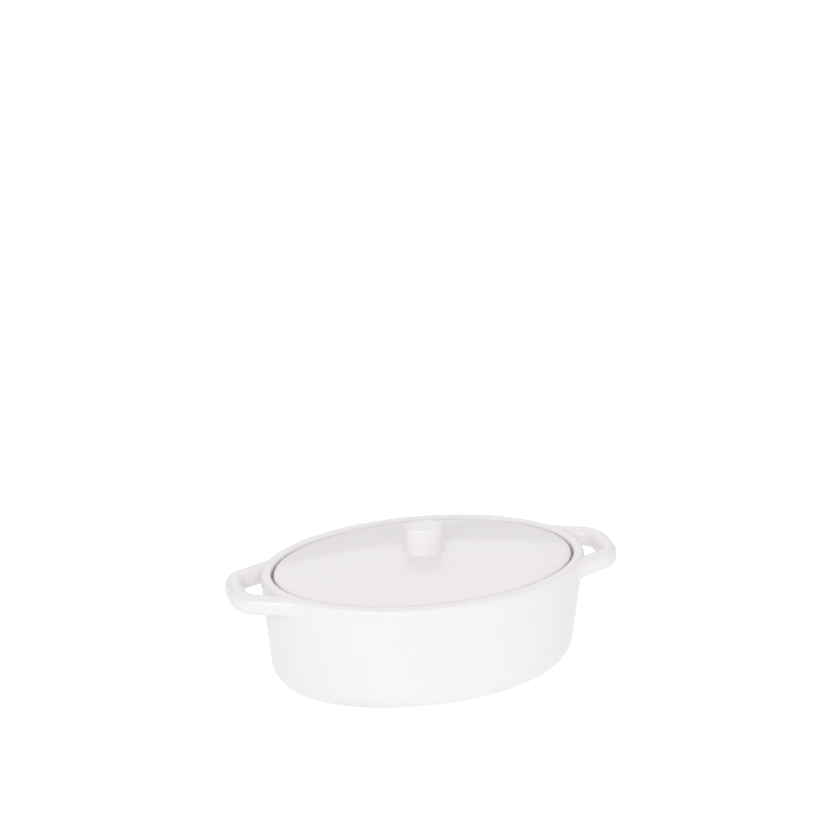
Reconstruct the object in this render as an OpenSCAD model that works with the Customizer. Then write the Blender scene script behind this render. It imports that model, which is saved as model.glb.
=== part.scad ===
// Oval covered casserole: a glazed dish with two loop handles, and a lid that
// drops into the rim and rests on a ledge inside it.
// X runs along the dish from handle to handle, Y across it and Z up.
// The origin is on the table, under the middle of the dish.

/* [Dish] */
// Length of the rim, outside, without the handles
rim_len = 141; // [125:1:170]
// Width of the rim, outside
rim_wid = 91; // [76:1:120]
// Height of the rim above the table
rim_h = 52.5; // [42:0.5:75]
// How far the outer wall runs in on its way from the rim down to the table
wall_in = 5.4; // [2:0.1:9]
// Radius of the outer bottom corner
corner_r = 14; // [8:0.5:18]
// Radius of the inner bottom corner
inside_r = 9; // [5:0.5:14]
// Draft of the inner wall, in degrees
inside_draft = 3.5; // [1:0.5:5]
// Thickness of the floor above the foot's recess
floor_t = 5; // [3.5:0.5:7]

/* [Rim and ledge] */
// Thickness of the rim above the ledge
rim_t = 4.6; // [3.6:0.1:6]
// Rounding of the rim's outer edge
rim_out_r = 1.9; // [0.8:0.1:2.2]
// Rounding of the rim's inner edge
rim_in_r = 1.1; // [0.4:0.1:1.3]
// Depth of the ledge below the rim
ledge_drop = 4.6; // [3.6:0.1:6]
// Width of the ledge that carries the lid
ledge_w = 3; // [2:0.1:4]

/* [Foot] */
// Width of the ring that the dish stands on
foot_w = 3.6; // [2.5:0.1:6]
// Height of the recess inside the ring
foot_rise = 1.2; // [0.6:0.1:2]

/* [Handles] */
// How far a handle stands out past the rim
handle_reach = 14.5; // [13:0.5:20]
// Width of the handle's bar, seen from above
bar_w = 7.2; // [6:0.1:9]
// Height of the handle's bar
bar_h = 7.9; // [6.5:0.1:10]
// Rounding of the bar's long edges
bar_edge_r = 3; // [1:0.1:3]
// Depth of the bar's top below the rim
bar_drop = 0.5; // [0:0.1:4]
// Length of the straight stretch at the handle's end
grip_straight = 8.4; // [2:0.2:14]
// Radius of the handle's bends, at the middle of the bar
bend_r = 9; // [6:0.1:12]
// Width of an arm at its root, where it has spread into the wall
root_w = 9.6; // [9:0.1:14]
// Place of an arm's root round the rim, in degrees of the plan from the handle's end
root_turn = 41; // [34:0.5:48]

/* [Lid] */
// Gap between the lid's edge and the rim, along the sides
lid_gap = 0.5; // [0.4:0.1:1]
// Play added to that gap at the lid's two ends
end_play = 0.6; // [0:0.1:1]
// Depth of the lid's upper edge below the rim
lid_drop = 0.4; // [0:0.1:1]
// Rise of the lid's crown from its edge to its middle
lid_rise = 5.2; // [3:0.1:8]
// Thickness of the lid inside its locating ring
lid_t = 4.4; // [3.5:0.1:5]
// Rounding of the lid's upper edge
lid_edge_r = 1.1; // [0.4:0.1:1.5]
// Gap between the locating ring and the ledge's inner edge
ring_gap = 0.8; // [0.5:0.1:1.5]
// Width of the locating ring under the lid
ring_w = 3; // [2:0.1:4]
// How far the locating ring reaches below the ledge
ring_h = 4.5; // [2.5:0.1:8]

/* [Knob] */
// Length of the oval knob, along the dish
knob_len = 16.2; // [12:0.1:24]
// Width of the knob
knob_wid = 11.2; // [9:0.1:18]
// Height of the knob above the lid
knob_h = 11.5; // [9:0.1:20]
// Rounding of the knob's upper edge
knob_edge_r = 1; // [0.4:0.1:2]
// Fillet at the knob's foot
knob_foot_r = 1.6; // [0.5:0.1:3]

/* [Hidden] */
$fn = 96;
glaze = [0.95, 0.95, 0.94];

// Points round the plan, and chords in each kind of rounded edge
plan_steps = 84;
edge_steps = 4;
corner_steps = 7;
crown_steps = 7;

half_len = rim_len / 2;
half_wid = rim_wid / 2;

// Points of an arc from direction t0 to t1
function arc(centre, r, t0, t1, steps) =
    [for (i = [0 : steps]) let (t = t0 + (t1 - t0) * i / steps) centre + r * [cos(t), sin(t)]];

// Every level of the dish and the lid is an ellipse, given as [half-length, half-width, height]
function level(inset, height) = [half_len - inset, half_wid - inset, height];

// Levels along a section, whose points are [distance in from the rim's outer edge, height]
function levels(section) = [for (p = section) level(p[0], p[1])];

function plan_ring(l) =
    [for (i = [0 : plan_steps - 1]) let (t = 360 * i / plan_steps) [l[0] * cos(t), l[1] * sin(t), l[2]]];

// Triangles of a skin over rings of n points, closed by a flat face at each end.
// The rings turn to the left, seen along the way from the first ring to the last.
function skin_faces(rings, n) = concat(
    [[for (i = [0 : n - 1]) i]],
    [
        for (k = [0 : rings - 2], i = [0 : n - 1])
            let (a = k * n + i, b = k * n + (i + 1) % n)
            each [[a, a + n, b], [b, a + n, b + n]]
    ],
    [[for (i = [n - 1 : -1 : 0]) (rings - 1) * n + i]]
);

module skin(rings) {
    points = [for (ring = rings) each ring];
    polyhedron(points, skin_faces(len(rings), len(rings[0])));
}

// A solid of elliptic levels, listed from one end of its skin to the other
module oval_skin(level_list) {
    skin([for (l = level_list) plan_ring(l)]);
}

// Outer wall: a straight line from the rim to the table, rounded at both ends
wall_angle = atan(wall_in / rim_h);
wall_face = 180 + wall_angle;
rim_out_c = [rim_out_r, rim_h - rim_out_r];

// Distance in from the rim's outer edge to the wall at a height
function wall_inset(height) =
    rim_out_c[0] - rim_out_r / cos(wall_angle) + (rim_out_c[1] - height) * tan(wall_angle);

corner_c = [wall_inset(corner_r) + corner_r / cos(wall_angle), corner_r];
corner_arc = arc(corner_c, corner_r, 270, wall_face, corner_steps);
rim_out_arc = arc(rim_out_c, rim_out_r, wall_face, 90, edge_steps);

// Foot: a flat ring inside the corner, round a shallow recess
foot_in = corner_c[0] + foot_w;

// Inside: the rim's inner edge, the ledge, and a drafted wall down to the floor
ledge_z = rim_h - ledge_drop;
ledge_in = rim_t + ledge_w;
ledge_edge_r = 0.8;
floor_z = foot_rise + floor_t;
inside_run = (ledge_z - floor_z - inside_r) * tan(inside_draft);
inside_c = [ledge_in + inside_run + inside_r / cos(inside_draft), floor_z + inside_r];
rim_in_arc = arc([rim_t - rim_in_r, rim_h - rim_in_r], rim_in_r, 90, 0, edge_steps);
ledge_arc = arc([ledge_in - ledge_edge_r, ledge_z - ledge_edge_r], ledge_edge_r, 90, 0, edge_steps);
inside_arc = arc(inside_c, inside_r, 180 + inside_draft, 270, corner_steps);

module bowl() {
    color(glaze)
        oval_skin(levels(concat(
            [[foot_in + foot_rise, foot_rise], [foot_in, 0]],
            corner_arc,
            rim_out_arc,
            rim_in_arc,
            [[rim_t, ledge_z]],
            ledge_arc,
            inside_arc
        )));
}

// The outer wall as a solid, which trims the arms of the handles to its face
module wall_solid() {
    oval_skin(levels(concat([corner_arc[corner_steps]], rim_out_arc)));
}

// Handle: a bar with a straight grip, two bends, and two arms that spread
// towards the wall and run into it
bar_x = half_len + handle_reach - bar_w / 2;
bar_z = rim_h - bar_drop - bar_h / 2;
bend_c = [bar_x - bend_r, grip_straight / 2];
root_inset = 8;
root = [(half_len - root_inset) * cos(root_turn), (half_wid - root_inset) * sin(root_turn)];
to_root = root - bend_c;
bend_turn = atan2(to_root[1], to_root[0]) - acos(bend_r / norm(to_root));
arm_start = bend_c + bend_r * [cos(bend_turn), sin(bend_turn)];
bend_steps = 8;
arm_steps = 8;

// Stations of the half on the +Y side, as [place, heading, width]
half_path = concat(
    [for (i = [0 : bend_steps]) let (t = bend_turn * i / bend_steps) [
        bend_c + bend_r * [cos(t), sin(t)],
        90 + t,
        bar_w
    ]],
    [for (i = [1 : arm_steps]) let (f = i / arm_steps) [
        arm_start + f * (root - arm_start),
        90 + bend_turn,
        bar_w + (root_w - bar_w) * f * f
    ]]
);
bar_path = concat(
    [for (i = [len(half_path) - 1 : -1 : 0]) let (s = half_path[i]) [
        [s[0][0], -s[0][1]],
        180 - s[1],
        s[2]
    ]],
    half_path
);

// Section of the bar, as [distance to the right of the path, height]
function bar_section(width) = [
    for (quarter = [0 : 3])
        let (
            right = (quarter == 0 || quarter == 3) ? 1 : -1,
            up = quarter < 2 ? 1 : -1,
            c = [right * (width / 2 - bar_edge_r), bar_z + up * (bar_h / 2 - bar_edge_r)]
        )
        each arc(c, bar_edge_r, quarter * 90, quarter * 90 + 90, edge_steps)
];

function bar_ring(station) = [
    for (p = bar_section(station[2]))
        let (right = station[1] - 90)
        [station[0][0] + p[0] * cos(right), station[0][1] + p[0] * sin(right), p[1]]
];

module loop() {
    skin([for (s = bar_path) bar_ring(s)]);
}

module right_handle() {
    color(glaze)
        difference() {
            loop();
            wall_solid();
        }
}

module left_handle() {
    color(glaze)
        difference() {
            mirror([1, 0, 0]) loop();
            wall_solid();
        }
}

// Lid: a plate whose edge follows the rim and whose top is crowned both ways
// up to a flat oval seat for the knob, with a locating ring underneath
lid_in = rim_t + lid_gap;
lid_edge_z = rim_h - lid_drop;
lid_top_z = lid_edge_z + lid_rise;
seat_margin = 0.2;
seat = [knob_len / 2 + knob_foot_r + seat_margin, knob_wid / 2 + knob_foot_r + seat_margin];
ring_out = ledge_in + ring_gap;
ring_in = ring_out + ring_w;
ring_z = ledge_z - ring_h;
ring_edge_r = 1;
under_top_z = lid_top_z - lid_t;
// How far out the ring's inner face lies between the knob's seat and the crown's
// edge, across the lid, as a share of the way
ring_share = (half_wid - ring_in - seat[1]) / (half_wid - lid_in - lid_edge_r - seat[1]);

// Levels of a crown that rises from an outline to its top at the centre, listed
// inwards, and ending at a flat oval round the seat
function crown_levels(outline, rise) = [
    for (i = [0 : crown_steps])
        let (s = 1 - i / crown_steps)
        [
            seat[0] + (outline[0] - seat[0]) * s,
            seat[1] + (outline[1] - seat[1]) * s,
            outline[2] + rise * (1 - s * s)
        ]
];

// Levels of the lid, which has more play at its ends than along its sides
function lid_level(inset, height) = level(inset, height) - [end_play, 0, 0];

module lid_plate() {
    crown_edge = lid_level(lid_in + lid_edge_r, lid_edge_z);
    under_edge = lid_level(ring_in, lid_edge_z + lid_rise * (1 - ring_share * ring_share) - lid_t);
    top = crown_levels(crown_edge, lid_top_z - lid_edge_z);
    under = crown_levels(under_edge, under_top_z - under_edge[2]);
    sides = concat(
        [[ring_in, ring_z + ring_edge_r]],
        arc([ring_in - ring_edge_r, ring_z + ring_edge_r], ring_edge_r, 0, -90, edge_steps),
        arc([ring_out + ring_edge_r, ring_z + ring_edge_r], ring_edge_r, 270, 180, edge_steps),
        [[ring_out, ledge_z], [lid_in, ledge_z]],
        arc([lid_in + lid_edge_r, lid_edge_z - lid_edge_r], lid_edge_r, 180, 90, edge_steps)
    );
    color(glaze)
        oval_skin(concat(
            [for (i = [crown_steps : -1 : 0]) under[i]],
            [for (p = sides) lid_level(p[0], p[1])],
            [for (i = [1 : crown_steps]) top[i]]
        ));
}

// Knob: an oval button with a flat top and a fillet at its foot. A section's points are
// [distance in from the knob's side, height]
module lid_knob() {
    knob_top = lid_top_z + knob_h;
    section = concat(
        arc([-knob_foot_r, lid_top_z + knob_foot_r], knob_foot_r, 270, 360, edge_steps),
        arc([knob_edge_r, knob_top - knob_edge_r], knob_edge_r, 180, 90, edge_steps)
    );
    color(glaze)
        oval_skin([for (p = section) [knob_len / 2 - p[0], knob_wid / 2 - p[0], p[1]]]);
}

bowl();
left_handle();
right_handle();
lid_plate();
lid_knob();
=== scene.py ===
"""An oval covered casserole in white glazed stoneware, put together as it is made:
the turned dish, its two luted handles, the lid, its knob, and the studio round it."""

import math

import bmesh
import bpy
import numpy as np
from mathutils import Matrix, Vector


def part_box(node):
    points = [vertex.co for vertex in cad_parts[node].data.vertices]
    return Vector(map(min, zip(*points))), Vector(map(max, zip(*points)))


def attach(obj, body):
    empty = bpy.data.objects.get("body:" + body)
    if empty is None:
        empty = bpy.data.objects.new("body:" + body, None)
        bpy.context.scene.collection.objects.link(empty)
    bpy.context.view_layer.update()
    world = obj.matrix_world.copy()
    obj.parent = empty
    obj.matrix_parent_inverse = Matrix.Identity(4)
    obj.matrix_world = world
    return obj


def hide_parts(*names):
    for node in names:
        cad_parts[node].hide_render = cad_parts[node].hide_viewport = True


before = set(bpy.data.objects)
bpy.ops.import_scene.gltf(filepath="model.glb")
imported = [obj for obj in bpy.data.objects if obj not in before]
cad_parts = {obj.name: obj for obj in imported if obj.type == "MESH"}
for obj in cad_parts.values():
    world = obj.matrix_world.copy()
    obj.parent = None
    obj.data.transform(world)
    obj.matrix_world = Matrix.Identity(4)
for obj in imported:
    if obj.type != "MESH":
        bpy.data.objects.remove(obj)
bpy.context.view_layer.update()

MM = 0.001


# ---------------------------------------------------------------------------
# The dish. One thick stoneware body, cast in an oval mould: a wall that runs in
# a little towards the table, a round bottom corner, a rim with soft edges, and a
# ledge inside the rim that carries the lid. It stands on a wiped, bare foot ring.
# ---------------------------------------------------------------------------
dish_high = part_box("bowl")[1]
rim_half_len = dish_high[0] / MM
rim_half_wid = dish_high[1] / MM
rim_height = dish_high[2] / MM

wall_lean = math.radians(5.87)
rim_outer_edge = 1.9
rim_inner_edge = 1.1
rim_thickness = 4.6
ledge_depth = 4.6
ledge_width = 3.0
ledge_edge = 0.8
inner_draft = math.radians(3.5)
inner_corner = 9.0
outer_corner = 14.0
foot_ring_width = 3.6
foot_recess = 1.2
floor_thickness = 5.0

ledge_height = rim_height - ledge_depth
floor_height = foot_recess + floor_thickness


def outer_inset(height):
    """How far the straight outer wall has run in from the rim's edge at a height."""
    start = rim_outer_edge - rim_outer_edge / math.cos(wall_lean)
    return start + (rim_height - rim_outer_edge - height) * math.tan(wall_lean)


def inner_inset(height):
    """The same for the inner wall, which starts at the ledge's inner edge."""
    return rim_thickness + ledge_width + (ledge_height - height) * math.tan(inner_draft)


def arc(centre, radius, start, end, steps):
    """Points [inset, height] of an arc between two directions in degrees."""
    turns = [math.radians(start + (end - start) * i / steps) for i in range(steps + 1)]
    return [(centre[0] + radius * math.cos(t), centre[1] + radius * math.sin(t)) for t in turns]


def straight(a, b, steps):
    """Points between a and b, without b itself."""
    return [(a[0] + (b[0] - a[0]) * i / steps, a[1] + (b[1] - a[1]) * i / steps) for i in range(steps)]


def section_run(points, edge=0.0, bare=0.0):
    """Section points on the full oval, with how thin the glaze lies and where there is none."""
    return [(inset, 1.0, height, edge, bare) for inset, height in points]


def section_disc(inset, height, rise, steps, outwards=False):
    """Points across a floor or a crown, from the full oval in to its centre."""
    shares = [1 - i / steps for i in range(1, steps + 1)]
    points = [(inset, s, height + rise * (1 - s * s), 0.0, 0.0) for s in shares]
    return points[::-1] if outwards else points


class Growth:
    """A geometry nodes tree with named sizes, and the one way that nodes are put into it."""

    def __init__(self, name, lengths, counts):
        self.tree = bpy.data.node_groups.new(name, "GeometryNodeTree")
        face = self.tree.interface
        face.new_socket("Geometry", in_out="INPUT", socket_type="NodeSocketGeometry")
        for length in lengths:
            face.new_socket(length, in_out="INPUT", socket_type="NodeSocketFloat")
        for count in counts:
            face.new_socket(count, in_out="INPUT", socket_type="NodeSocketInt")
        face.new_socket("Finish", in_out="INPUT", socket_type="NodeSocketMaterial")
        face.new_socket("Geometry", in_out="OUTPUT", socket_type="NodeSocketGeometry")
        self.start = self.tree.nodes.new("NodeGroupInput").outputs

    def node(self, kind, links=None, output=0, **settings):
        made = self.tree.nodes.new(kind)
        for name, value in settings.items():
            setattr(made, name, value)
        for name, value in (links or {}).items():
            if isinstance(value, bpy.types.NodeSocket):
                self.tree.links.new(value, made.inputs[name])
            else:
                made.inputs[name].default_value = value
        return made.outputs[output]

    def maths(self, operation, a, b=0.0):
        return self.node("ShaderNodeMath", {0: a, 1: b}, operation=operation)

    def finished(self, shape):
        """The tree, ended with one smooth skin in the chosen finish."""
        shape = self.node("GeometryNodeMergeByDistance", {"Geometry": shape, "Distance": 1e-6})
        shape = self.node("GeometryNodeSetShadeSmooth", {"Geometry": shape})
        shape = self.node("GeometryNodeRealizeInstances", {"Geometry": shape})
        finish = {"Geometry": shape, "Material": self.start["Finish"]}
        shape = self.node("GeometryNodeSetMaterial", finish)
        self.tree.links.new(shape, self.tree.nodes.new("NodeGroupOutput").inputs[0])
        return self.tree


def turned_oval_tree():
    """Geometry nodes that carry a section round an oval plan.

    The section's points are [inset from the plan's edge, share of the way out, height]."""
    growth = Growth("turned_oval", ("Half Length", "Half Width"), ("Steps Round",))
    start, node, maths = growth.start, growth.node, growth.maths

    section = start["Geometry"]
    count = node("GeometryNodeAttributeDomainSize", {"Geometry": section}, "Point Count")
    around = maths("ADD", start["Steps Round"], 1.0)
    shape = node("GeometryNodeMeshGrid", {"Vertices X": around, "Vertices Y": count}, "Mesh")

    index = node("GeometryNodeInputIndex")
    along = maths("MODULO", index, count)
    turn = maths("MULTIPLY", maths("FLOOR", maths("DIVIDE", index, count)), math.tau)
    turn = maths("DIVIDE", turn, start["Steps Round"])

    def sampled(value, data_type):
        wanted = {"Geometry": section, "Value": value, "Index": along}
        return node("GeometryNodeSampleIndex", wanted, data_type=data_type, domain="POINT")

    place = node("GeometryNodeInputPosition")
    inset, share, height = node("ShaderNodeSeparateXYZ", {0: sampled(place, "FLOAT_VECTOR")}).node.outputs
    reach_x = maths("MULTIPLY", maths("SUBTRACT", start["Half Length"], inset), share)
    reach_y = maths("MULTIPLY", maths("SUBTRACT", start["Half Width"], inset), share)
    x = maths("MULTIPLY", reach_x, maths("COSINE", turn))
    y = maths("MULTIPLY", reach_y, maths("SINE", turn))
    there = node("ShaderNodeCombineXYZ", {0: x, 1: y, 2: height})

    for name in ("edge", "bare"):
        mark = node("GeometryNodeInputNamedAttribute", {"Name": name}, "Attribute", data_type="FLOAT")
        kept = {"Geometry": shape, "Name": name, "Value": sampled(mark, "FLOAT")}
        shape = node("GeometryNodeStoreNamedAttribute", kept, data_type="FLOAT", domain="POINT")
    shape = node("GeometryNodeSetPosition", {"Geometry": shape, "Position": there})
    return growth.finished(shape)


def grown(name, points, lines, tree, sizes, marks=None):
    """A closed mesh piece: loose edges taken through a geometry nodes tree with these sizes."""
    seed = bpy.data.meshes.new(name + "_seed")
    seed.from_pydata([tuple(v * MM for v in p) for p in points], lines, [])
    for mark, values in (marks or {}).items():
        seed.attributes.new(mark, "FLOAT", "POINT").data.foreach_set("value", values)
    holder = bpy.data.objects.new(name + "_seed", seed)
    bpy.context.collection.objects.link(holder)
    growth = holder.modifiers.new("growth", "NODES")
    growth.node_group = tree
    for item in tree.interface.items_tree:
        if item.in_out == "INPUT" and item.name in sizes:
            growth[item.identifier] = sizes[item.name]
    holder.update_tag()
    bpy.context.view_layer.update()
    evaluated = holder.evaluated_get(bpy.context.evaluated_depsgraph_get())
    mesh = bpy.data.meshes.new_from_object(evaluated)
    holder.modifiers.remove(growth)
    bpy.data.objects.remove(holder)
    mesh.name = name
    shell = bmesh.new()
    shell.from_mesh(mesh)
    bmesh.ops.dissolve_degenerate(shell, dist=1e-7, edges=shell.edges)
    bmesh.ops.recalc_face_normals(shell, faces=shell.faces)
    shell.to_mesh(mesh)
    shell.free()
    piece = bpy.data.objects.new(name, mesh)
    bpy.context.collection.objects.link(piece)
    return piece


def turned(name, section, half_len, half_wid, steps, finish):
    """A piece whose section is carried round an oval."""
    lines = [(i, i + 1) for i in range(len(section) - 1)]
    marks = {"edge": [p[3] for p in section], "bare": [p[4] for p in section]}
    # The inset and the height are lengths and the share is not, so it is scaled back up.
    points = [(p[0], p[1] / MM, p[2]) for p in section]
    sizes = {
        "Half Length": half_len * MM,
        "Half Width": half_wid * MM,
        "Steps Round": steps,
        "Finish": finish,
    }
    return grown(name, points, lines, turned_oval, sizes, marks)


class Value:
    """A shader socket on which arithmetic adds Math nodes."""

    def __init__(self, tree, socket):
        self.tree = tree
        self.socket = socket

    def maths(self, operation, *others, clamp=False):
        made = self.tree.nodes.new("ShaderNodeMath")
        made.operation = operation
        made.use_clamp = clamp
        for slot, value in enumerate((self,) + others):
            if isinstance(value, Value):
                self.tree.links.new(value.socket, made.inputs[slot])
            else:
                made.inputs[slot].default_value = value
        return Value(self.tree, made.outputs[0])

    def __add__(self, other):
        return self.maths("ADD", other)

    def __radd__(self, other):
        return self.maths("ADD", other)

    def __sub__(self, other):
        return self.maths("SUBTRACT", other)

    def __rsub__(self, other):
        return self.maths("MULTIPLY", -1.0).maths("ADD", other)

    def __mul__(self, other):
        return self.maths("MULTIPLY", other)

    def __rmul__(self, other):
        return self.maths("MULTIPLY", other)

    def between(self, low, high):
        """0 below low, 1 above high, and a straight ramp from one to the other."""
        return ((self - low) * (1.0 / (high - low))).maths("ADD", 0.0, clamp=True)


class Finish:
    """A material's node tree, and the one way that nodes are put into it."""

    def __init__(self, name):
        self.material = bpy.data.materials.new(name)
        self.material.use_nodes = True
        self.tree = self.material.node_tree
        self.tree.nodes.clear()

    def node(self, kind, settings=None, sockets=None, output=0):
        made = self.tree.nodes.new(kind)
        for name, value in (settings or {}).items():
            setattr(made, name, value)
        for name, value in (sockets or {}).items():
            if isinstance(value, Value):
                self.tree.links.new(value.socket, made.inputs[name])
            else:
                made.inputs[name].default_value = value
        return Value(self.tree, made.outputs[output])

    def noise(self, place, scale, detail=2.0, roughness=0.5):
        sockets = {"Vector": place, "Scale": scale, "Detail": detail, "Roughness": roughness}
        return self.node("ShaderNodeTexNoise", {"noise_dimensions": "3D"}, sockets)

    def mark(self, name):
        settings = {"attribute_type": "GEOMETRY", "attribute_name": name}
        return self.node("ShaderNodeAttribute", settings, output="Fac")

    def mix(self, factor, a, b):
        settings = {"data_type": "RGBA"}
        return self.node("ShaderNodeMix", settings, {0: factor, 6: a, 7: b}, output=2)

    def surface(self, shader):
        end = self.tree.nodes.new("ShaderNodeOutputMaterial")
        self.tree.links.new(shader.socket, end.inputs["Surface"])
        return self.material


def white_glaze():
    """Opaque white glaze on stoneware: glossy, faintly uneven, thinner over edges, with
    a few pinholes. Where the glaze was wiped off, the bare clay is warm, matt and grainy."""
    finish = Finish("white_glaze")
    place = finish.node("ShaderNodeTexCoord", output="Object")
    edge = finish.mark("edge")
    bare = finish.mark("bare")

    pooling = finish.noise(place, 22.0, detail=3.0)
    breakup = finish.noise(place, 160.0, detail=3.0)
    thin = (edge * (0.45 + breakup * 0.5)).between(0.0, 1.0)
    drift = pooling.between(0.3, 0.7)
    body_colour = finish.mix(drift, (0.890, 0.878, 0.876, 1), (0.902, 0.890, 0.889, 1))
    glaze_colour = finish.mix(thin, body_colour, (0.893, 0.883, 0.878, 1))
    gloss = 0.10 + drift * 0.03 + breakup * 0.04 + thin * 0.10

    waves = finish.noise(place, 95.0, detail=1.0)
    peel = finish.noise(place, 420.0, detail=1.0)
    pits = finish.node("ShaderNodeTexVoronoi", {"feature": "F1"}, {"Vector": place, "Scale": 260.0})
    pinholes = 1.0 - pits.between(0.04, 0.09)
    rare = breakup.between(0.62, 0.66)
    relief = waves * 0.8 + peel * 0.12 - pinholes * rare * 0.5
    skin = finish.node("ShaderNodeBump", None, {"Strength": 0.12, "Distance": 0.0006, "Height": relief})
    glazed = finish.node("ShaderNodeBsdfPrincipled", None, {
        "Base Color": glaze_colour,
        "Roughness": gloss,
        "IOR": 1.5,
        "Normal": skin,
    })

    grain = finish.noise(place, 1800.0, detail=4.0, roughness=0.65)
    stain = finish.noise(place, 70.0, detail=3.0)
    clay_colour = finish.mix(stain.between(0.3, 0.7), (0.66, 0.60, 0.52, 1), (0.76, 0.71, 0.63, 1))
    tooth = finish.node("ShaderNodeBump", None, {"Strength": 0.5, "Distance": 0.0002, "Height": grain})
    clay = finish.node("ShaderNodeBsdfPrincipled", None, {
        "Base Color": clay_colour,
        "Roughness": 0.75 + grain * 0.15,
        "IOR": 1.45,
        "Normal": tooth,
    })
    wiped = (bare + (breakup - 0.5) * 0.25).between(0.45, 0.55)
    both = finish.node("ShaderNodeMixShader", None, {0: wiped, 1: glazed, 2: clay})
    return finish.surface(both)


glaze = white_glaze()
turned_oval = turned_oval_tree()

face_turn = 180 + math.degrees(wall_lean)
corner_centre = (outer_inset(outer_corner) + outer_corner / math.cos(wall_lean), outer_corner)
foot_inner = corner_centre[0] + foot_ring_width
rim_centre = (rim_outer_edge, rim_height - rim_outer_edge)
corner_points = arc(corner_centre, outer_corner, 270, face_turn, 20)
rim_points = arc(rim_centre, rim_outer_edge, face_turn, 90, 10)
inner_lip = arc((rim_thickness - rim_inner_edge, rim_height - rim_inner_edge), rim_inner_edge, 90, 0, 6)
ledge_inner = rim_thickness + ledge_width
ledge_lip = arc((ledge_inner - ledge_edge, ledge_height - ledge_edge), ledge_edge, 90, 0, 5)
basin_centre = (
    inner_inset(floor_height + inner_corner) + inner_corner / math.cos(inner_draft),
    floor_height + inner_corner,
)
basin_points = arc(basin_centre, inner_corner, 180 + math.degrees(inner_draft), 270, 14)

dish_section = (
    section_disc(foot_inner + 1.6, foot_recess, 0.0, 8, outwards=True)
    + section_run(arc((foot_inner + 1.6, foot_recess - 0.6), 0.6, 90, 160, 3))
    + section_run(arc((foot_inner - 0.4, 0.4), 0.4, 340, 270, 3), bare=1.0)
    + section_run(straight((foot_inner - 0.5, 0.0), corner_points[0], 3), bare=1.0)
    + section_run(corner_points[:4], bare=1.0)
    + section_run(corner_points[4:])
    + section_run(straight(corner_points[-1], rim_points[0], 30)[1:])
    + section_run(rim_points, edge=1.0)
    + section_run(straight(rim_points[-1], inner_lip[0], 2)[1:], edge=0.4)
    + section_run(inner_lip, edge=1.0)
    + section_run([(rim_thickness, ledge_height + 0.7)])
    + section_run(arc((rim_thickness + 0.5, ledge_height + 0.5), 0.5, 180, 270, 3), bare=0.3)
    + section_run(ledge_lip[:3], bare=1.0)
    + section_run(ledge_lip[3:], edge=0.6)
    + section_run(straight(ledge_lip[-1], basin_points[0], 24)[1:])
    + section_run(basin_points)
    + section_disc(basin_points[-1][0], floor_height, 0.0, 14)
)
dish = turned("dish", dish_section, rim_half_len, rim_half_wid, 384, glaze)


# ---------------------------------------------------------------------------
# The two handles. Each is a rolled and pressed clay bar, bent to a loop level
# with the rim and luted on, so that its arms run out into the wall in a smooth
# fillet under one glaze.
# ---------------------------------------------------------------------------
loop_low, loop_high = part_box("right_handle")
bar_height = (loop_high[2] - loop_low[2]) / MM
bar_level = (loop_high[2] + loop_low[2]) / 2 / MM
bar_width = 7.2
bar_edge = 3.0
bar_reach = loop_high[0] / MM - bar_width / 2
bend_radius = 9.0
grip_half = 4.2
root_turn = math.radians(41)
root_depth = 8.0
arm_overrun = 1.5
fillet = 2.6
crease_fillet = 0.2
fillet_overlap = 0.6
fillet_top = 0.56
fade_start, fade_height = 0.3, 0.25
flush_depth = 0.008
lap_length = 0.5
lap_depth = 0.05
tuck_length = 1.2
sunk = 2.2
wiping_rounds = 40

bend_centre = np.array([bar_reach - bend_radius, grip_half])
root = np.array([
    (rim_half_len - root_depth) * math.cos(root_turn),
    (rim_half_wid - root_depth) * math.sin(root_turn),
])
to_root = root - bend_centre
bend_turn = math.atan2(to_root[1], to_root[0]) - math.acos(bend_radius / np.linalg.norm(to_root))
arm_start = bend_centre + bend_radius * np.array([math.cos(bend_turn), math.sin(bend_turn)])


def beside_wall(p):
    """How far points, in millimetres, lie sideways out of the straight face of the wall."""
    line = rim_outer_edge - rim_outer_edge / math.cos(wall_lean)
    line = line + (rim_height - rim_outer_edge - p[:, 2]) * math.tan(wall_lean)
    a = rim_half_len - line
    b = rim_half_wid - line
    size = np.hypot(p[:, 0] / a, p[:, 1] / b)
    slope = np.hypot(p[:, 0] / a**2, p[:, 1] / b**2)
    return (size - 1) * size / slope * math.cos(wall_lean)


def outside_wall(p):
    """How far points lie outside the dish's outer skin, with its rounded rim."""
    side = beside_wall(p) + rim_outer_edge
    up = p[:, 2] - (rim_height - rim_outer_edge)
    corner = np.hypot(np.maximum(side, 0), np.maximum(up, 0))
    return corner + np.minimum(np.maximum(side, up), 0) - rim_outer_edge


def outside_bar(p):
    """How far points lie outside the loops' bar, on either handle."""
    flat = np.abs(p[:, :2])
    grip = np.hypot(flat[:, 0] - bar_reach, np.maximum(flat[:, 1] - grip_half, 0))
    out = flat - bend_centre
    turn = np.clip(np.arctan2(out[:, 1], out[:, 0]), 0, bend_turn)
    bend = np.hypot(
        out[:, 0] - bend_radius * np.cos(turn),
        out[:, 1] - bend_radius * np.sin(turn),
    )
    run = (root - arm_start) * arm_overrun
    share = np.clip(((flat - arm_start) @ run) / (run @ run), 0, 1)
    arm = np.linalg.norm(flat - arm_start - share[:, None] * run, axis=1)
    across = np.minimum(np.minimum(grip, bend), arm) - (bar_width / 2 - bar_edge)
    up = np.abs(p[:, 2] - bar_level) - (bar_height / 2 - bar_edge)
    corner = np.hypot(np.maximum(across, 0), np.maximum(up, 0))
    return corner + np.minimum(np.maximum(across, up), 0) - bar_edge


def eased(value):
    value = np.clip(value, 0, 1)
    return value * value * (3 - 2 * value)


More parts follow.
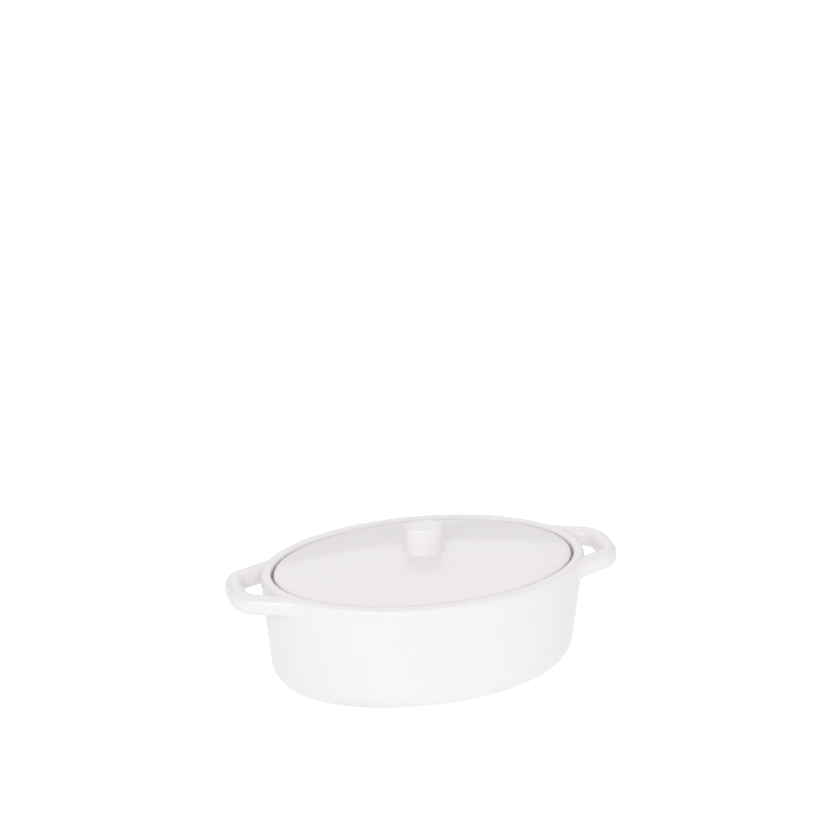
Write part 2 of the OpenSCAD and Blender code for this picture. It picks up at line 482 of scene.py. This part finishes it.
def slope_of(distance, p):
    """Gradient of a distance at points."""
    step = 0.01
    columns = []
    for axis in range(3):
        shift = np.zeros(3)
        shift[axis] = step
        columns.append((distance(p + shift) - distance(p - shift)) / (2 * step))
    return np.stack(columns, axis=1)


def skin_of(piece):
    """A piece's points in millimetres."""
    p = np.empty(len(piece.data.vertices) * 3)
    piece.data.vertices.foreach_get("co", p)
    return p.reshape(-1, 3) / MM


def placed(p, wall_gap, bar_gap):
    """Points moved until they lie these distances out of the wall and out of the bar."""
    p = p.copy()
    for _ in range(30):
        wall_slope, bar_slope = slope_of(outside_wall, p), slope_of(outside_bar, p)
        wall_off, bar_off = wall_gap - outside_wall(p), bar_gap - outside_bar(p)
        shared = (wall_slope * bar_slope).sum(axis=1)
        clear = np.maximum(1 - shared**2, 0.03)
        step = ((wall_off - shared * bar_off) / clear)[:, None] * wall_slope
        step += ((bar_off - shared * wall_off) / clear)[:, None] * bar_slope
        length = np.linalg.norm(step, axis=1)
        p += step * (np.minimum(length, 0.8) / np.maximum(length, 1e-9))[:, None]
    return p


def pressed(p):
    """Points deep in the wall brought out to just under its skin, clear of the lid's seat."""
    p = p.copy()
    for _ in range(5):
        depth = beside_wall(p)
        buried = np.where(depth < -sunk)[0]
        slope = slope_of(beside_wall, p[buried])
        slope[:, 2] = 0
        slope /= np.linalg.norm(slope, axis=1)[:, None]
        p[buried] += (-sunk - depth[buried])[:, None] * slope
    return p


def luted(piece):
    """A loop's skin, spread at its roots into a fillet that runs out flush on the wall.

    Across the fillet both gaps follow a parabola: the gap from the wall falls to nothing
    as the gap from the bar grows. Past its end the skin laps under the wall's and sinks.
    Up at the bar's shoulder the fillet dies out, and the bar meets the rim in a crease."""
    p = skin_of(piece)
    away = beside_wall(p)
    shoulder = (p[:, 2] - (bar_level + bar_height / 2 - bar_edge)) / bar_edge
    size = fillet * (1 - eased(shoulder / 0.5)) + crease_fillet
    end = -fillet_overlap * size
    turn = np.clip(2 * (away - end) / (size - end) - 1, -1, 1)
    lap = np.clip((end - away) / lap_length, 0, 1)
    wall_gap = size * (1 + turn) ** 2 / 4 - flush_depth * (1 - turn) / 2 - lap_depth * lap
    bar_gap = size * (1 - turn) ** 2 / 4 * (1 + 0.05 * lap)
    fused = pressed(p)
    near = np.where((away < size) & (shoulder < fillet_top))[0]
    spread = placed(fused[near], wall_gap[near], bar_gap[near])
    sinking = eased((end - away - lap_length)[near] / tuck_length)
    high = eased((shoulder[near] - fade_start) / fade_height)
    share = (1 - sinking) * (1 - high)
    fused[near] += share[:, None] * (spread - fused[near])
    return smoothed(piece, fused, near[share > 0])


def smoothed(piece, p, zone):
    """The fillet's points wiped even along the wall, each keeping its gap from the wall."""
    pairs = np.empty(len(piece.data.edges) * 2, dtype=int)
    piece.data.edges.foreach_get("vertices", pairs)
    one, other = pairs.reshape(-1, 2).T
    count = np.bincount(pairs, minlength=len(p))[zone, None]
    gap = outside_wall(p[zone])
    for _ in range(wiping_rounds):
        total = np.zeros_like(p)
        np.add.at(total, one, p[other])
        np.add.at(total, other, p[one])
        p[zone] = 0.4 * p[zone] + 0.6 * total[zone] / count
        p[zone] += (gap - outside_wall(p[zone]))[:, None] * slope_of(outside_wall, p[zone])
    return p


def put_back(piece, p):
    piece.data.vertices.foreach_set("co", (p * MM).ravel())
    piece.data.update()


def bar_tree():
    """Geometry nodes that carry a rounded bar along a path."""
    growth = Growth("bar_along_path", ("Bar Width", "Bar Height", "Edge Radius"), ("Edge Steps",))
    start, node = growth.start, growth.node

    path = node("GeometryNodeMeshToCurve", {"Mesh": start["Geometry"]})
    path = node("GeometryNodeSetCurveNormal", {"Curve": path}, mode="Z_UP")
    size = {"Width": start["Bar Width"], "Height": start["Bar Height"]}
    block = node("GeometryNodeCurvePrimitiveQuadrilateral", size)
    rounding = {"Curve": block, "Count": start["Edge Steps"], "Radius": start["Edge Radius"]}
    block = node("GeometryNodeFilletCurve", rounding, mode="POLY")
    bar = node("GeometryNodeCurveToMesh", {"Curve": path, "Profile Curve": block, "Fill Caps": True})
    return growth.finished(bar)


def loop_path(side):
    """Middle of a loop's bar, from root to root."""
    arm_steps = int(np.linalg.norm(root - arm_start) / 0.5)
    half = [(bar_reach, grip_half * i / 4) for i in range(4)]
    half += [tuple(bend_centre + q) for q in arc((0, 0), bend_radius, 0, math.degrees(bend_turn), 18)]
    half += [tuple(arm_start + (root - arm_start) * i / arm_steps) for i in range(1, arm_steps + 9)]
    whole = [(x, -y) for x, y in half[:0:-1]] + half
    return [(side * x, y, bar_level) for x, y in whole]


bar_along_path = bar_tree()
bar_sizes = {
    "Bar Width": bar_width * MM,
    "Bar Height": bar_height * MM,
    "Edge Radius": bar_edge * MM,
    "Edge Steps": 12,
    "Finish": glaze,
}
for name, side in (("left_handle", -1), ("right_handle", 1)):
    points = loop_path(side)
    lines = [(i, i + 1) for i in range(len(points) - 1)]
    loop = grown(name + "_loop", points, lines, bar_along_path, bar_sizes)
    put_back(loop, luted(loop))
    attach(loop, "dish")
    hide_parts(name)

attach(dish, "dish")
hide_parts("bowl")


# ---------------------------------------------------------------------------
# The lid. A loose oval plate, crowned both ways, with a soft upper edge that
# leaves a narrow gap in the rim, a bare seat that rests on the ledge, and a ring
# underneath that keeps it in place.
# ---------------------------------------------------------------------------
lid_low, lid_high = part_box("lid_plate")
lid_half_len = lid_high[0] / MM
lid_half_wid = lid_high[1] / MM
lid_top = lid_high[2] / MM
ring_bottom = lid_low[2] / MM
lid_seat = ledge_height
lid_rise = 5.2
lid_edge_height = lid_top - lid_rise
lid_edge = 1.1
lid_thickness = 4.4
ring_play = 0.8
ring_outer = ledge_inner + ring_play - (rim_half_wid - lid_half_wid)
ring_width = 3.0
ring_edge = 1.0

edge_points = arc((lid_edge, lid_edge_height - lid_edge), lid_edge, 180, 102, 8)
crown_foot = edge_points[-1]
ring_inner = ring_outer + ring_width
hollow_foot = (ring_inner + 0.8, lid_edge_height - lid_thickness + 1.4)

lid_section = (
    section_disc(hollow_foot[0], hollow_foot[1], lid_top - lid_thickness - hollow_foot[1], 20, outwards=True)
    + section_run(arc((ring_inner + 0.8, hollow_foot[1] - 0.8), 0.8, 90, 180, 4))
    + section_run(arc((ring_inner - ring_edge, ring_bottom + ring_edge), ring_edge, 0, -90, 5), edge=0.7)
    + section_run(arc((ring_outer + ring_edge, ring_bottom + ring_edge), ring_edge, 270, 180, 5), edge=0.7)
    + section_run(arc((ring_outer - 0.5, lid_seat - 0.5), 0.5, 0, 90, 3), bare=0.6)
    + section_run(arc((0.6, lid_seat + 0.6), 0.6, 270, 225, 2), bare=1.0)
    + section_run([(0.0, lid_seat + 0.9), (0.0, lid_seat + 1.6)])
    + section_run(edge_points, edge=1.0)
    + section_disc(crown_foot[0], crown_foot[1], lid_top - crown_foot[1], 44)
)
lid = turned("lid", lid_section, lid_half_len, lid_half_wid, 240, glaze)
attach(lid, "lid")
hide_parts("lid_plate")


# ---------------------------------------------------------------------------
# The knob. A short oval button with a flat top and a soft edge, cast and luted
# to the middle of the lid, with a small fillet where the glaze has run into
# the corner.
# ---------------------------------------------------------------------------
knob_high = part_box("lid_knob")[1]
knob_fillet = 1.6
knob_half_len = knob_high[0] / MM
knob_half_wid = knob_high[1] / MM
knob_top = knob_high[2] / MM
knob_edge = 1.0
skirt = 0.6

foot_arc = arc((skirt, lid_top + knob_fillet), knob_fillet, 270, 360, 10)
top_arc = arc((skirt + knob_fillet + knob_edge, knob_top - knob_edge), knob_edge, 180, 90, 7)
knob_section = (
    section_disc(0.4, lid_top - 0.8, 0.0, 4, outwards=True)
    + section_run([(0.4, lid_top - 0.8), (0.0, lid_top - 0.3), (0.0, lid_top - 0.03)])
    + section_run(foot_arc)
    + section_run(straight(foot_arc[-1], top_arc[0], 8)[1:])
    + section_run(top_arc, edge=0.8)
    + section_disc(top_arc[-1][0], knob_top, 0.0, 8)
)
knob = turned("knob", knob_section, knob_half_len + skirt, knob_half_wid + skirt, 120, glaze)
knob_skin = skin_of(knob)
crown_len, crown_wid = lid_half_len - crown_foot[0], lid_half_wid - crown_foot[0]
sag = (lid_top - crown_foot[1]) * ((knob_skin[:, 0] / crown_len) ** 2 + (knob_skin[:, 1] / crown_wid) ** 2)
low_down = eased(1 - (knob_skin[:, 2] - lid_top) / 4)
knob_skin[:, 2] -= sag * low_down
put_back(knob, knob_skin)
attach(knob, "lid")
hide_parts("lid_knob")


# ---------------------------------------------------------------------------
# The studio. A plain white table under an even white sky, with soft lights in
# front, behind and at a window on the left, and a long lens from the front
# left, looking down on the lid.
# ---------------------------------------------------------------------------
def board(name, height, colour, glow):
    """A wide level board that gives off a little light."""
    finish = Finish(name)
    place = finish.node("ShaderNodeTexCoord", output="Object")
    cloud = finish.noise(place, 3.0)
    shade = finish.mix(cloud, (colour, colour, colour, 1), (colour + 0.02, colour + 0.02, colour + 0.02, 1))
    skin = finish.node("ShaderNodeBsdfPrincipled", None, {
        "Base Color": shade,
        "Roughness": 0.6,
        "Emission Color": (1.0, 1.0, 1.0, 1),
        "Emission Strength": glow,
    })
    corners = [(-1, -1), (1, -1), (1, 1), (-1, 1)]
    mesh = bpy.data.meshes.new(name)
    mesh.from_pydata([(x * board_half, y * board_half, height) for x, y in corners], [], [(0, 1, 2, 3)])
    mesh.materials.append(finish.surface(skin))
    made = bpy.data.objects.new(name, mesh)
    bpy.context.collection.objects.link(made)
    return made


# The table shows as plain white. What lights the dish from below is a board just
# under it, a little darker, which only the glaze sees.
board_half = 4.0
table = board("table", 0.0, 0.14, 0.90)
table.visible_diffuse = False
table.visible_glossy = False
bounce = board("bounce_board", -0.0005, 0.30, 0.70)
bounce.visible_camera = False

sky = bpy.data.worlds.new("studio")
sky.use_nodes = True
sky.node_tree.nodes["Background"].inputs["Color"].default_value = (1.0, 0.98, 0.975, 1)
sky.node_tree.nodes["Background"].inputs["Strength"].default_value = 0.72
bpy.context.scene.world = sky


def seen_from(azimuth, elevation, distance):
    a, e = math.radians(azimuth), math.radians(elevation)
    return (
        distance * math.sin(a) * math.cos(e),
        -distance * math.cos(a) * math.cos(e),
        distance * math.sin(e),
    )


def soft_light(name, azimuth, elevation, distance, size, power):
    """A square soft light that faces the dish from a direction, as the camera's is given."""
    lamp = bpy.data.lights.new(name, "AREA")
    lamp.size = size
    lamp.energy = power
    holder = bpy.data.objects.new(name, lamp)
    holder.location = seen_from(azimuth, elevation, distance)
    holder.rotation_euler = (math.radians(90 - elevation), 0.0, math.radians(azimuth))
    bpy.context.collection.objects.link(holder)
    return holder


soft_light("front_light", -10, 22, 1.6, 1.6, 6.4)
soft_light("back_light", 170, 42, 1.6, 1.2, 2.4)
soft_light("window_light", -38, 35, 1.5, 0.55, 1.9)

lens = bpy.data.cameras.new("camera")
lens.lens = 96.1
lens.sensor_width = 36.0
camera = bpy.data.objects.new("camera", lens)
camera.location = seen_from(-16.48, 28.47, 0.9784)
camera.rotation_euler = (math.radians(90 - 22.13), 0.0, math.radians(-16.37))
bpy.context.collection.objects.link(camera)
bpy.context.scene.camera = camera
bpy.context.scene.view_settings.view_transform = "Standard"
